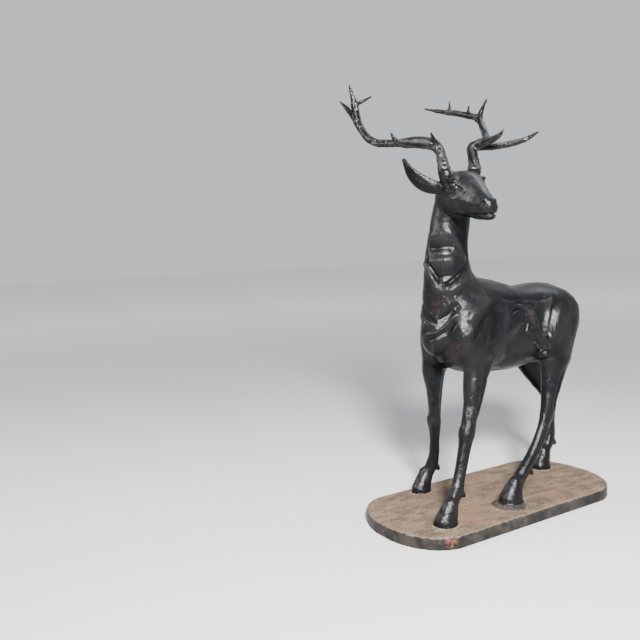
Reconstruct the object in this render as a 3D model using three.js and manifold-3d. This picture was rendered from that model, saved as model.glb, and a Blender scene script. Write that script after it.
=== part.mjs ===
// Cast iron stag standing on its own base plate.
// Millimetres, +Z up. The body faces -Y and its left side is +X, with the head turned to its left.
// The origin is the centre of the plate's underside.
import * as THREE from 'three';
import { mergeVertices } from 'three/addons/utils/BufferGeometryUtils.js';
import Module from 'manifold-3d';

const wasm = await Module();
wasm.setup();

// ---------------------------------------------------------------- driving dimensions

const PLATE = { length: 1100, width: 494, thickness: 48, cornerX: 229, cornerY: 180, bevel: 5 };
const MOUND = { x: 142, y: -42, radiusX: 78, radiusY: 72, height: 16, sunk: 6 };
const SEAT_GAP = 0.3;

const HEAD = { x: 80, y: -215, poll: 1287, turn: 75 };
const BROW = { side: 60, forward: 42, up: -44, radii: [22, 16, 18] };
const COLLAR = { radius: 27, lip: 3, height: 14, seat: 6 };
const PEDICLE = { depth: 60, rootRadius: 20, inward: 0.55, bend: 28, bendRadius: 24, topRadius: 23 };

const IRON = { color: 0x1d1a18, roughness: 0.42, metalness: 0.85 };
const ANTLER_IRON = { color: 0x23201e, roughness: 0.5, metalness: 0.8 };
const DUSTY_IRON = { color: 0x6b5f53, roughness: 0.8, metalness: 0.3 };

const TRUNK_SIDES = 20;
const LEG_SIDES = 10;
const ANTLER_SIDES = 7;
const ROOT_SIDES = 12;
const TANGENT_STEP = 0.05;

// ---------------------------------------------------------------- forms

/** Catmull-Rom value of rows of numbers at t, counted in spans from the first row. */
function spline(rows, t) {
  const last = rows.length - 1;
  const i = Math.min(Math.floor(t), last - 1);
  const u = t - i;
  const row = (k) => rows[Math.max(0, Math.min(last, k))];
  return row(i).map((p1, c) => {
    const [p0, p2, p3] = [row(i - 1)[c], row(i + 1)[c], row(i + 2)[c]];
    const cubic = (3 * (p1 - p2) + p3 - p0) * u;
    const square = 2 * p0 - 5 * p1 + 4 * p2 - p3;
    return p1 + 0.5 * u * (p2 - p0 + u * (square + cubic));
  });
}

/** Mesh of stacked rings with a point at each end, its faces turned outward. */
function skin(rings, first, last) {
  const sides = rings[0].length;
  const points = [first, ...rings.flat(), last];
  const end = points.length - 1;
  const index = [];
  for (let s = 0; s < sides; s += 1) {
    const n = (s + 1) % sides;
    index.push(0, 1 + n, 1 + s);
    for (let r = 0; r < rings.length - 1; r += 1) {
      const low = 1 + r * sides;
      const high = low + sides;
      index.push(low + s, low + n, high + n, low + s, high + n, high + s);
    }
    index.push(end, end - sides + s, end - sides + n);
  }
  const volume = signedVolume(points, index);
  if (volume < 0) index.reverse();
  return { points: points.flatMap((p) => p.toArray()), index };
}

function signedVolume(points, index) {
  let sum = 0;
  for (let i = 0; i < index.length; i += 3) {
    const [a, b, c] = [points[index[i]], points[index[i + 1]], points[index[i + 2]]];
    sum += a.dot(b.clone().cross(c));
  }
  return sum;
}

function manifold({ points, index }) {
  return new wasm.Manifold(new wasm.Mesh({
    numProp: 3,
    vertProperties: new Float32Array(points),
    triVerts: new Uint32Array(index),
  }));
}

/**
 * Solid limb through stations [x, y, z, half width, half depth].
 * The width lies along `across`, and each end is a dome, or flat where `flatStart` says so.
 */
function limb(stations, { across = [1, 0, 0], sides = LEG_SIDES, perSpan = 2, flatStart = false } = {}) {
  const spans = stations.length - 1;
  const side = new THREE.Vector3(...across);
  const centre = (t) => new THREE.Vector3(...spline(stations, t).slice(0, 3));
  const sections = [];
  for (let k = 0; k <= spans * perSpan; k += 1) {
    const t = k / perSpan;
    const [x, y, z, width, depth] = spline(stations, t);
    const ahead = centre(Math.min(t + TANGENT_STEP, spans));
    const along = ahead.sub(centre(Math.max(t - TANGENT_STEP, 0))).normalize();
    const wide = side.clone().addScaledVector(along, -side.dot(along)).normalize();
    const deep = along.clone().cross(wide);
    sections.push({ middle: new THREE.Vector3(x, y, z), along, wide, deep, width, depth });
  }
  const ring = ({ middle, wide, deep, width, depth }, scale, shift) => {
    const points = [];
    for (let s = 0; s < sides; s += 1) {
      const angle = (2 * Math.PI * (s + 0.5)) / sides;
      points.push(middle.clone().add(shift)
        .addScaledVector(wide, width * scale * Math.cos(angle))
        .addScaledVector(deep, depth * scale * Math.sin(angle)));
    }
    return points;
  };
  const dome = (section, sign, degrees) => {
    const reach = Math.min(section.width, section.depth) * sign * Math.sin((degrees * Math.PI) / 180);
    return section.along.clone().multiplyScalar(reach);
  };
  const [head, tail] = [sections[0], sections[sections.length - 1]];
  const none = new THREE.Vector3();
  const rings = sections.map((section) => ring(section, 1, none));
  if (!flatStart) rings.unshift(ring(head, Math.SQRT1_2, dome(head, -1, 45)));
  rings.push(ring(tail, Math.SQRT1_2, dome(tail, 1, 45)));
  const first = head.middle.clone().add(flatStart ? none : dome(head, -1, 90));
  const last = tail.middle.clone().add(dome(tail, 1, 90));
  return manifold(skin(rings, first, last));
}

/** Solid ellipsoid, turned about X by `pitch` and then about Z by `yaw`, in degrees. */
function muscle([x, y, z], [rx, ry, rz], { pitch = 0, yaw = 0, detail = 2 } = {}) {
  const ball = new THREE.IcosahedronGeometry(1, detail);
  ball.deleteAttribute('normal');
  ball.deleteAttribute('uv');
  ball.scale(rx, ry, rz);
  ball.rotateX(THREE.MathUtils.degToRad(pitch));
  ball.rotateZ(THREE.MathUtils.degToRad(yaw));
  ball.translate(x, y, z);
  const merged = mergeVertices(ball, 1e-3);
  return manifold({ points: [...merged.attributes.position.array], index: [...merged.index.array] });
}

function join(solids) {
  return solids.reduce((sum, solid) => sum.add(solid));
}

function meshOf(name, solid, look) {
  const { vertProperties, triVerts, numProp } = solid.getMesh();
  const geometry = new THREE.BufferGeometry();
  const points = [];
  for (let i = 0; i < vertProperties.length; i += numProp) points.push(...vertProperties.slice(i, i + 3));
  geometry.setAttribute('position', new THREE.Float32BufferAttribute(points, 3));
  geometry.setIndex([...triVerts]);
  geometry.computeVertexNormals();
  const mesh = new THREE.Mesh(geometry, new THREE.MeshStandardMaterial(look));
  mesh.name = name;
  return mesh;
}

// ---------------------------------------------------------------- base plate

/** Plan outline: straight sides joined by quarter ellipses. */
function plateOutline(inset) {
  const halfX = PLATE.width / 2 - inset;
  const halfY = PLATE.length / 2 - inset;
  const [rx, ry] = [PLATE.cornerX - inset, PLATE.cornerY - inset];
  const points = [];
  const steps = 9;
  for (let corner = 0; corner < 4; corner += 1) {
    const signX = corner === 0 || corner === 3 ? 1 : -1;
    const signY = corner < 2 ? 1 : -1;
    for (let k = 0; k <= steps; k += 1) {
      const angle = ((corner + k / steps) * Math.PI) / 2;
      points.push([signX * (halfX - rx) + rx * Math.cos(angle), signY * (halfY - ry) + ry * Math.sin(angle)]);
    }
  }
  return points;
}

function plate() {
  const { thickness, bevel } = PLATE;
  const levels = [[0, 0], [thickness - bevel, 0], [thickness, bevel]];
  const rings = levels.map(([z, inset]) => plateOutline(inset).map(([x, y]) => new THREE.Vector3(x, y, z)));
  return manifold(skin(rings, new THREE.Vector3(0, 0, 0), new THREE.Vector3(0, 0, thickness)));
}

/** Levels of the mound: share of its height, and share of its plan radii. */
const MOUND_SHOULDER = [0.45, 0.86];
const MOUND_TOP = [1, 0.5];

/** Low lump of iron that the left hind hoof stands on. */
function mound() {
  const { x, y, radiusX, radiusY, height, sunk } = MOUND;
  const level = (z, scale) => [x, y, PLATE.thickness + z, radiusX * scale, radiusY * scale];
  const upper = [MOUND_SHOULDER, MOUND_TOP].map(([share, scale]) => level(height * share, scale));
  const top = limb([level(-sunk, 1), ...upper], { sides: 14, perSpan: 1, flatStart: true });
  return top.trimByPlane([0, 0, -1], -(PLATE.thickness + height));
}

// ---------------------------------------------------------------- stag, measured from the deck

const TRUNK = [
  [0, -268, 684, 62, 88],
  [0, -235, 684, 92, 138],
  [0, -170, 694, 116, 174],
  [0, -90, 701, 130, 188],
  [0, 0, 689, 138, 183],
  [0, 90, 676, 141, 171],
  [0, 180, 682, 138, 164],
  [0, 260, 700, 134, 153],
  [0, 340, 706, 123, 136],
  [0, 394, 704, 98, 104],
  [0, 428, 700, 60, 66],
];

const NECK = [
  [-6, -160, 700, 100, 118],
  [-4, -188, 800, 94, 124],
  [-2, -204, 880, 84, 106],
  [0, -212, 960, 74, 90],
  [4, -208, 1040, 67, 82],
  [12, -200, 1115, 66, 78],
  [26, -198, 1190, 62, 70],
];

const LEG_FORE_LEFT = [
  [70, -120, 700, 52, 84],
  [84, -130, 600, 46, 66],
  [96, -165, 520, 40, 52],
  [104, -186, 440, 34, 40],
  [112, -214, 365, 26, 30],
  [116, -229, 319, 28, 30],
  [119, -243, 280, 24, 27],
  [124, -264, 220, 20, 24],
  [130, -288, 155, 20, 23],
  [134, -303, 116, 24, 27],
  [137, -330, 74, 22, 25],
  [140, -352, 44, 27, 34],
];

const LEG_FORE_RIGHT = [
  [-74, -130, 700, 56, 88],
  [-94, -172, 610, 50, 70],
  [-105, -196, 530, 43, 53],
  [-118, -185, 440, 31, 36],
  [-136, -172, 345, 25, 27],
  [-144, -168, 302, 27, 29],
  [-151, -162, 255, 22, 24],
  [-158, -157, 210, 19, 22],
  [-167, -154, 155, 19, 22],
  [-175, -158, 112, 24, 27],
  [-181, -179, 72, 21, 24],
  [-186, -196, 44, 26, 33],
];

const LEG_HIND_LEFT = [
  [72, 325, 740, 66, 100],
  [94, 292, 640, 56, 90],
  [106, 268, 565, 48, 84],
  [110, 250, 500, 42, 64],
  [115, 230, 430, 34, 44],
  [118, 215, 380, 29, 36],
  [120, 205, 338, 26, 34],
  [122, 182, 285, 21, 27],
  [125, 148, 228, 20, 25],
  [129, 100, 168, 21, 25],
  [133, 58, 128, 25, 28],
  [138, 8, 84, 23, 26],
  [141, -18, 58, 28, 34],
];

const LEG_HIND_RIGHT = [
  [-72, 335, 740, 66, 100],
  [-92, 335, 640, 56, 100],
  [-100, 345, 560, 50, 102],
  [-101, 374, 488, 42, 82],
  [-102, 412, 418, 34, 56],
  [-102, 448, 362, 27, 41],
  [-103, 472, 316, 24, 34],
  [-104, 483, 260, 20, 25],
  [-105, 483, 190, 19, 23],
  [-105, 474, 122, 24, 27],
  [-102, 448, 78, 22, 24],
  [-99, 428, 46, 27, 33],
];

/** Hooves: middle of the sole, its height over the deck, and the way its toe points in degrees. */
const HOOVES = [
  { x: 142, y: -366, z: 0, toe: -4 },
  { x: -190, y: -208, z: 0, toe: 14 },
  { x: 143, y: -32, z: MOUND.height, toe: -4 },
  { x: -97, y: 412, z: 0, toe: 4 },
];
const HOOF = { length: 88, claw: 27, height: 46, cleft: 3, rake: 17 };

/** Levels of a claw: share of its height and of its rake, added half width, lost half length. */
const CLAW_LEVELS = [
  [0, 0, 2, 0],
  [0.3, 0.24, 3, 2],
  [0.75, 0.6, 2, 10],
  [1, 1, 0, 18],
];

/** A cloven hoof of two claws, each a raked wedge on a flat sole. */
function hoof({ x, y, z, toe }) {
  const { length, claw, height, cleft, rake } = HOOF;
  const turn = THREE.MathUtils.degToRad(toe);
  const place = (px, py, pz) => new THREE.Vector3(px, py, 0)
    .applyAxisAngle(new THREE.Vector3(0, 0, 1), turn)
    .add(new THREE.Vector3(x, y, z + pz));
  const claws = [-1, 1].map((side) => {
    const middle = (side * (claw + cleft)) / 2;
    const rings = CLAW_LEVELS.map(([up, setback, wider, shorter]) => {
      const level = Math.max(height * up, SEAT_GAP);
      const back = rake * setback;
      const [halfWidth, halfLength] = [claw / 2 + wider, length / 2 - shorter];
      const points = [];
      for (let k = 0; k < LEG_SIDES; k += 1) {
        const angle = (2 * Math.PI * k) / LEG_SIDES;
        points.push(place(middle + halfWidth * Math.cos(angle), back + halfLength * Math.sin(angle), level));
      }
      return points;
    });
    return manifold(skin(rings, place(middle, 0, SEAT_GAP), place(middle, rake, height)));
  });
  return join(claws);
}

/** A dewclaw's offsets as shares of the fetlock's width and depth, its drop, radii and pitch. */
const DEWCLAW = { apart: 0.6, behind: 0.7, drop: 16, radii: [9, 12, 17], pitch: 24 };

/** The two dewclaws behind a fetlock, which is the last but two station of its leg. */
function dewclaws(leg) {
  const { apart, behind, drop, radii, pitch } = DEWCLAW;
  const [x, y, z, width, depth] = leg[leg.length - 3];
  return [-1, 1].map((side) => {
    const middle = [x + side * width * apart, y + depth * behind, z - drop];
    return muscle(middle, radii, { pitch, detail: 0 });
  });
}

// ---------------------------------------------------------------- head, in its own frame

/** A point given as right of the face's middle, forward along the face and up from the poll. */
function headPoint(right, forward, up) {
  const turn = THREE.MathUtils.degToRad(HEAD.turn);
  const [faceX, faceY] = [Math.sin(turn), -Math.cos(turn)];
  return [HEAD.x + faceX * forward + faceY * right, HEAD.y + faceY * forward - faceX * right, HEAD.poll + up];
}

function headAcross() {
  const turn = THREE.MathUtils.degToRad(HEAD.turn);
  return [-Math.cos(turn), -Math.sin(turn), 0];
}

/** Stations down the face: forward, middle height, half width, half height. */
const FACE = [
  [-92, -84, 34, 44],
  [-60, -76, 58, 64],
  [-10, -70, 68, 70],
  [40, -78, 68, 78],
  [80, -97, 58, 77],
  [120, -115, 47, 65],
  [156, -131, 39, 55],
  [186, -141, 35, 47],
  [203, -144, 28, 40],
];

function head() {
  const skull = limb(
    FACE.map(([forward, up, width, height]) => [...headPoint(0, forward, up), width, height]),
    { across: headAcross(), sides: 14, perSpan: 2 },
  );
  const brows = [-1, 1].map((side) => {
    const middle = headPoint(side * BROW.side, BROW.forward, BROW.up);
    return muscle(middle, BROW.radii, { yaw: HEAD.turn, detail: 1 });
  });
  return join([skull, ...brows, pedicle(ANTLER_RIGHT), pedicle(ANTLER_LEFT)]);
}

/** Stump on the skull that an antler's collar is seated on, leaning out from the skull's middle. */
function pedicle({ beam: [[right, forward, up]] }) {
  const { depth, rootRadius, inward, bend, bendRadius, topRadius } = PEDICLE;
  const top = up - COLLAR.seat - SEAT_GAP;
  const levels = [[depth, inward, rootRadius], [bend, (1 + inward) / 2, bendRadius], [0, 1, topRadius]];
  const place = (scale, x, y, level) => {
    const [cx, cy, cz] = headPoint(right * scale, forward, level);
    return new THREE.Vector3(cx + x, cy + y, cz);
  };
  const rings = levels.map(([down, scale, radius]) => {
    const points = [];
    for (let k = 0; k < ROOT_SIDES; k += 1) {
      const angle = (2 * Math.PI * k) / ROOT_SIDES;
      points.push(place(scale, radius * Math.cos(angle), radius * Math.sin(angle), top - down));
    }
    return points;
  });
  return manifold(skin(rings, place(inward, 0, 0, top - depth), place(1, 0, 0, top)));
}

/** Half width and half thickness of an ear from its root to its tip, and the way the width lies. */
const EAR_SECTIONS = [[15, 8], [26, 7], [29, 6], [22, 5], [8, 4]];
const EAR_ACROSS = [0.15, -0.2, 1];

/** Leaf-shaped ear from its root to its tip, in head distances. */
function ear(points) {
  const stations = points.map(([right, forward, up], k) => [
    ...headPoint(right, forward, up), ...EAR_SECTIONS[k],
  ]);
  return limb(stations, { across: EAR_ACROSS, sides: 8, perSpan: 1 });
}

/** Short tail, pressed flat against the rump. */
const TAIL = [
  [0, 428, 790, 18, 14],
  [0, 462, 752, 22, 13],
  [0, 482, 704, 20, 11],
  [0, 482, 655, 12, 8],
];

const EAR_RIGHT = [[54, -22, -58], [84, -36, -54], [124, -56, -34], [158, -76, 4], [180, -92, 54]];
const EAR_LEFT = [[-52, -32, -60], [-60, -62, -58], [-66, -96, -52], [-68, -126, -42], [-68, -148, -28]];

// ---------------------------------------------------------------- antlers

/** Tines of each antler: [right, forward, up, thickness radius] down from the root to the tip. */
const ANTLER_RIGHT = {
  beam: [
    [61, 2, 8, 23], [64, -10, 48, 18], [74, -36, 98, 18], [118, -94, 122, 16], [176, -190, 128, 14],
    [226, -278, 146, 15], [252, -328, 198, 14], [266, -356, 252, 13],
  ],
  tines: [
    [[72, -32, 84, 15], [84, -22, 104, 11], [98, -8, 120, 7], [112, 4, 136, 3]],
    [[78, -34, 96, 16], [150, -30, 100, 15], [220, -14, 100, 13], [248, -6, 112, 8], [264, 0, 134, 3]],
    [[264, -350, 236, 13], [272, -346, 284, 15], [282, -342, 328, 10], [296, -340, 372, 3]],
    [[276, -346, 300, 10], [254, -344, 308, 7], [232, -343, 318, 5], [206, -342, 332, 3]],
    [[258, -338, 214, 13], [266, -400, 270, 12], [272, -462, 314, 8], [278, -512, 344, 3]],
  ],
};

const ANTLER_LEFT = {
  beam: [
    [-61, 2, 8, 24], [-63, -10, 44, 19], [-74, -34, 86, 18], [-130, -80, 112, 16], [-196, -150, 124, 15],
    [-240, -214, 148, 14], [-260, -282, 202, 13], [-274, -342, 256, 12],
  ],
  tines: [
    [[-76, -28, 92, 17], [-100, 4, 104, 16], [-118, 34, 110, 12], [-132, 58, 120, 8], [-141, 74, 138, 3]],
    [[-88, -40, 94, 15], [-170, -30, 94, 13], [-248, -14, 106, 11], [-296, -2, 124, 8], [-328, 4, 142, 3]],
    [[-272, -338, 248, 12], [-284, -338, 282, 9], [-296, -337, 306, 6], [-308, -336, 330, 3]],
    [[-272, -342, 256, 13], [-226, -412, 284, 12], [-172, -482, 306, 9], [-126, -548, 330, 3]],
    [[-248, -378, 272, 8], [-250, -384, 294, 5], [-254, -388, 312, 3]],
    [[-196, -452, 300, 7], [-198, -454, 322, 5], [-200, -458, 344, 3]],
  ],
};

/** Share of a rod's direction along Z over which its section is laid along X instead. */
const STEEP = 0.8;

function antler({ beam, tines }) {
  const rod = (points, sides) => {
    const stations = points.map(([right, forward, up, radius]) => [
      ...headPoint(right, forward, up), radius, radius,
    ]);
    const [start, end] = [stations[0], stations[stations.length - 1]];
    const run = new THREE.Vector3(...end.slice(0, 3)).sub(new THREE.Vector3(...start.slice(0, 3)));
    const across = Math.abs(run.normalize().z) > STEEP ? [1, 0, 0] : [0, 0, 1];
    return limb(stations, { across, sides, perSpan: 2 });
  };
  const [right, forward, up] = beam[0];
  const { radius, lip, height, seat } = COLLAR;
  const level = (z, r) => [...headPoint(right, forward, up + z), r, r];
  const collar = limb([level(-seat, radius - lip), level(height / 3, radius), level(height, radius - lip)],
    { sides: ROOT_SIDES, perSpan: 1, flatStart: true });
  const whole = join([rod(beam, ANTLER_SIDES + 1), ...tines.map((tine) => rod(tine, ANTLER_SIDES)), collar]);
  return whole.trimByPlane([0, 0, 1], HEAD.poll + up - seat);
}

// ---------------------------------------------------------------- assembly

/** Muscles on each side: how far out, the rest of the centre, radii, and pitch. */
const MUSCLES = [
  { side: 90, y: -176, z: 680, radii: [56, 88, 126], pitch: -10 },
  { side: 84, y: 300, z: 700, radii: [56, 104, 108], pitch: 0 },
];

function stagSolid() {
  const legs = [LEG_FORE_LEFT, LEG_FORE_RIGHT, LEG_HIND_LEFT, LEG_HIND_RIGHT];
  const muscles = MUSCLES.flatMap(({ side, y, z, radii, pitch }) => [
    muscle([-side, y, z], radii, { pitch }),
    muscle([side, y, z], radii, { pitch }),
  ]);
  return join([
    limb(TRUNK, { sides: TRUNK_SIDES }),
    limb(NECK, { sides: 16 }),
    head(),
    ear(EAR_RIGHT),
    ear(EAR_LEFT),
    limb(TAIL, { sides: 8, perSpan: 1 }),
    ...legs.map((rows) => limb(rows)),
    ...legs.flatMap(dewclaws),
    ...muscles,
    ...HOOVES.map(hoof),
  ]);
}

const antlers = { antler_right: antler(ANTLER_RIGHT), antler_left: antler(ANTLER_LEFT) };

const statue = new THREE.Group();
statue.add(meshOf('base', plate().add(mound()), DUSTY_IRON));

const figure = new THREE.Group();
figure.position.z = PLATE.thickness;
figure.add(meshOf('stag', stagSolid(), IRON));
for (const [name, solid] of Object.entries(antlers)) figure.add(meshOf(name, solid, ANTLER_IRON));
statue.add(figure);

export default statue;
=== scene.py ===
"""A cast iron stag on its base plate, sculpted as meshes around its CAD frame.

Each mesh starts as a fine remesh of its CAD node. The stag's vertices settle onto a smooth field, which
joins its limbs and muscles without creases, and carved lines are then pressed into it. Lengths in the
tables are millimetres from the deck of the plate; the frame and every Blender object are in metres.
"""
import math
from typing import NamedTuple

import bmesh
import bpy
import numpy as np
from mathutils import Matrix, Vector
from mathutils.bvhtree import BVHTree


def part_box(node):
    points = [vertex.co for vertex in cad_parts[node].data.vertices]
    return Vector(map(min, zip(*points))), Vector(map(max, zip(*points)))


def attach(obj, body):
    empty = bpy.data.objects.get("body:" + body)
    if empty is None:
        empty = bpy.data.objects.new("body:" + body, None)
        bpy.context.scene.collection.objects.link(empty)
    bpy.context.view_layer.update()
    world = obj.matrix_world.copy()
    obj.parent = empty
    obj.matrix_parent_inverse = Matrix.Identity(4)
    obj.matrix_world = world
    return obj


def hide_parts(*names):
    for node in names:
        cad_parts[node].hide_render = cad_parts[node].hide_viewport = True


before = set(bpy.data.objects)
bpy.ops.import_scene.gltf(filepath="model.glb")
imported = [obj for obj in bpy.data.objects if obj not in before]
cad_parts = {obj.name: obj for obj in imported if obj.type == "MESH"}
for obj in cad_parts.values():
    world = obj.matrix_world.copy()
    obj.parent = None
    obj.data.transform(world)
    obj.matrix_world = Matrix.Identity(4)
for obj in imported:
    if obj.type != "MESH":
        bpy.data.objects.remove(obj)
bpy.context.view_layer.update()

# -------------------- places and sizes

STAG_LOW, STAG_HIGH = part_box("stag")
STAG_HEIGHT = 1345.6
SEAT_GAP = 0.3
UNIT = (STAG_HIGH.z - STAG_LOW.z) / STAG_HEIGHT
DECK = STAG_LOW.z - SEAT_GAP * UNIT
MOUND_HEIGHT = 16.0

STAG_VOXEL = 3.1
ANTLER_VOXEL = 2.3
BASE_VOXEL = 4.6
STAG_TRIANGLES = 196000
ANTLER_TRIANGLES = 90000
BASE_TRIANGLES = 120000

WELD_GAP = 0.02
BLOCK = 20000  # points that are worked on at a time
FORM_MARGIN = 30  # how far past a form, and its blend, the field counts it
CUT_MARGIN = 20
SLOPE_STEP = 0.4
MOST_SETTLING = 8
THINNING_LEVELS = 10
THINNING_BIAS = 3.0

# -------------------- skeleton: x, y, z, half width, half depth

TRUNK = [
    (0, -268, 684, 62, 88),
    (0, -235, 684, 92, 138),
    (0, -170, 694, 116, 174),
    (0, -90, 701, 130, 188),
    (0, 0, 689, 138, 183),
    (0, 90, 676, 141, 171),
    (0, 180, 682, 138, 164),
    (0, 260, 700, 134, 153),
    (0, 340, 706, 123, 136),
    (0, 394, 704, 98, 104),
    (0, 428, 700, 60, 66),
]
NECK = [
    (-6, -160, 700, 100, 118),
    (-4, -188, 800, 94, 124),
    (-2, -204, 880, 84, 106),
    (0, -212, 960, 74, 90),
    (4, -208, 1040, 67, 82),
    (12, -200, 1115, 66, 78),
    (26, -198, 1190, 62, 70),
]
LEG_FORE_LEFT = [
    (70, -120, 700, 52, 84),
    (84, -130, 600, 46, 66),
    (96, -165, 520, 40, 52),
    (104, -186, 440, 34, 40),
    (112, -214, 365, 26, 30),
    (116, -229, 319, 28, 30),
    (119, -243, 280, 24, 27),
    (124, -264, 220, 20, 24),
    (130, -288, 155, 20, 23),
    (134, -303, 116, 24, 27),
    (137, -330, 74, 22, 25),
    (140, -352, 44, 27, 34),
]
LEG_FORE_RIGHT = [
    (-74, -130, 700, 56, 88),
    (-94, -172, 610, 50, 70),
    (-105, -196, 530, 43, 53),
    (-118, -185, 440, 31, 36),
    (-136, -172, 345, 25, 27),
    (-144, -168, 302, 27, 29),
    (-151, -162, 255, 22, 24),
    (-158, -157, 210, 19, 22),
    (-167, -154, 155, 19, 22),
    (-175, -158, 112, 24, 27),
    (-181, -179, 72, 21, 24),
    (-186, -196, 44, 26, 33),
]
LEG_HIND_LEFT = [
    (72, 325, 740, 66, 100),
    (94, 292, 640, 56, 90),
    (106, 268, 565, 48, 84),
    (110, 250, 500, 42, 64),
    (115, 230, 430, 34, 44),
    (118, 215, 380, 29, 36),
    (120, 205, 338, 26, 34),
    (122, 182, 285, 21, 27),
    (125, 148, 228, 20, 25),
    (129, 100, 168, 21, 25),
    (133, 58, 128, 25, 28),
    (138, 8, 84, 23, 26),
    (141, -18, 58, 28, 34),
]
LEG_HIND_RIGHT = [
    (-72, 335, 740, 66, 100),
    (-92, 335, 640, 56, 100),
    (-100, 345, 560, 50, 102),
    (-101, 374, 488, 42, 82),
    (-102, 412, 418, 34, 56),
    (-102, 448, 362, 27, 41),
    (-103, 472, 316, 24, 34),
    (-104, 483, 260, 20, 25),
    (-105, 483, 190, 19, 23),
    (-105, 474, 122, 24, 27),
    (-102, 448, 78, 22, 24),
    (-99, 428, 46, 27, 33),
]
FORE_LEGS = (LEG_FORE_LEFT, LEG_FORE_RIGHT)
HIND_LEGS = (LEG_HIND_LEFT, LEG_HIND_RIGHT)
TAIL = [(0, 428, 790, 18, 14), (0, 462, 752, 22, 13), (0, 482, 704, 20, 11), (0, 482, 655, 12, 8)]

# Head: right of the face's middle, forward along the face, up from the poll.
HEAD_X, HEAD_Y, POLL, HEAD_TURN = 80, -215, 1287, math.radians(75)
# The face: forward, up, half width and half height.
FACE = [
    (-92, -84, 34, 44),
    (-60, -76, 58, 64),
    (-10, -70, 68, 70),
    (40, -78, 68, 78),
    (80, -97, 58, 77),
    (120, -115, 47, 65),
    (156, -131, 39, 55),
    (186, -141, 35, 47),
    (203, -144, 28, 40),
]
EAR_RIGHT = [(54, -22, -58), (84, -36, -54), (124, -56, -34), (158, -76, 4), (180, -92, 54)]
EAR_LEFT = [(-52, -32, -60), (-60, -62, -58), (-66, -96, -52), (-68, -126, -42), (-68, -148, -28)]
EAR_WIDTHS = (15, 26, 29, 22, 8)
EAR_DEPTHS = (12, 13, 11, 8, 4)
EARS = [(EAR_RIGHT, (0.56, -0.8, -0.1)), (EAR_LEFT, (0.42, 0.9, 0.12))]  # and the way each opens
EAR_ACROSS = (0.15, -0.2, 1)

# Antlers, each the beam and then its tines: right, forward, up and radius.
ANTLER_RIGHT = [
    [(61, 2, 8, 23), (64, -10, 48, 18), (74, -36, 98, 18), (118, -94, 122, 16), (176, -190, 128, 14),
     (226, -278, 146, 15), (252, -328, 198, 14), (266, -356, 252, 13)],
    [(72, -32, 84, 15), (84, -22, 104, 11), (98, -8, 120, 7), (112, 4, 136, 3)],
    [(78, -34, 96, 16), (150, -30, 100, 15), (220, -14, 100, 13), (248, -6, 112, 8), (264, 0, 134, 3)],
    [(264, -350, 236, 13), (272, -346, 284, 15), (282, -342, 328, 10), (296, -340, 372, 3)],
    [(276, -346, 300, 10), (254, -344, 308, 7), (232, -343, 318, 5), (206, -342, 332, 3)],
    [(258, -338, 214, 13), (266, -400, 270, 12), (272, -462, 314, 8), (278, -512, 344, 3)],
]
ANTLER_LEFT = [
    [(-61, 2, 8, 24), (-63, -10, 44, 19), (-74, -34, 86, 18), (-130, -80, 112, 16), (-196, -150, 124, 15),
     (-240, -214, 148, 14), (-260, -282, 202, 13), (-274, -342, 256, 12)],
    [(-76, -28, 92, 17), (-100, 4, 104, 16), (-118, 34, 110, 12), (-132, 58, 120, 8), (-141, 74, 138, 3)],
    [(-88, -40, 94, 15), (-170, -30, 94, 13), (-248, -14, 106, 11), (-296, -2, 124, 8), (-328, 4, 142, 3)],
    [(-272, -338, 248, 12), (-284, -338, 282, 9), (-296, -337, 306, 6), (-308, -336, 330, 3)],
    [(-272, -342, 256, 13), (-226, -412, 284, 12), (-172, -482, 306, 9), (-126, -548, 330, 3)],
    [(-248, -378, 272, 8), (-250, -384, 294, 5), (-254, -388, 312, 3)],
    [(-196, -452, 300, 7), (-198, -454, 322, 5), (-200, -458, 344, 3)],
]
BEAMS = (ANTLER_RIGHT[0], ANTLER_LEFT[0])


def head_axes():
    forward = np.array((math.sin(HEAD_TURN), -math.cos(HEAD_TURN), 0.0))
    right = np.array((-math.cos(HEAD_TURN), -math.sin(HEAD_TURN), 0.0))
    return right, forward


RIGHT, FORWARD = head_axes()
UP = np.array((0.0, 0.0, 1.0))


def head_point(right, forward, up):
    return np.array((HEAD_X, HEAD_Y, POLL)) + right * RIGHT + forward * FORWARD + up * UP


# -------------------- the field that the surface settles on


def spline(stations, step):
    """Catmull-Rom curve through rows of numbers, sampled about a step apart."""
    rows = np.asarray(stations, float)
    ends = np.vstack([2 * rows[0] - rows[1], rows, 2 * rows[-1] - rows[-2]])
    out = []
    for i in range(1, len(ends) - 2):
        p0, p1, p2, p3 = ends[i - 1 : i + 3]
        count = max(1, round(np.linalg.norm((p2 - p1)[:3]) / step))
        t = (np.arange(count) / count)[:, None]
        cubic = (3 * (p1 - p2) + p3 - p0) * t
        out.append(p1 + 0.5 * t * (p2 - p0 + t * (2 * p0 - 5 * p1 + 4 * p2 - p3 + cubic)))
    out.append(rows[-1:])
    return np.vstack(out)


def unit(v):
    return v / np.maximum(np.linalg.norm(v, axis=-1, keepdims=True), 1e-9)


def ellipsoid_distance(along, radii):
    k0 = np.linalg.norm(along / radii, axis=-1)
    k1 = np.linalg.norm(along / radii**2, axis=-1)
    return k0 * (k0 - 1) / np.maximum(k1, 1e-9)


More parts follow.
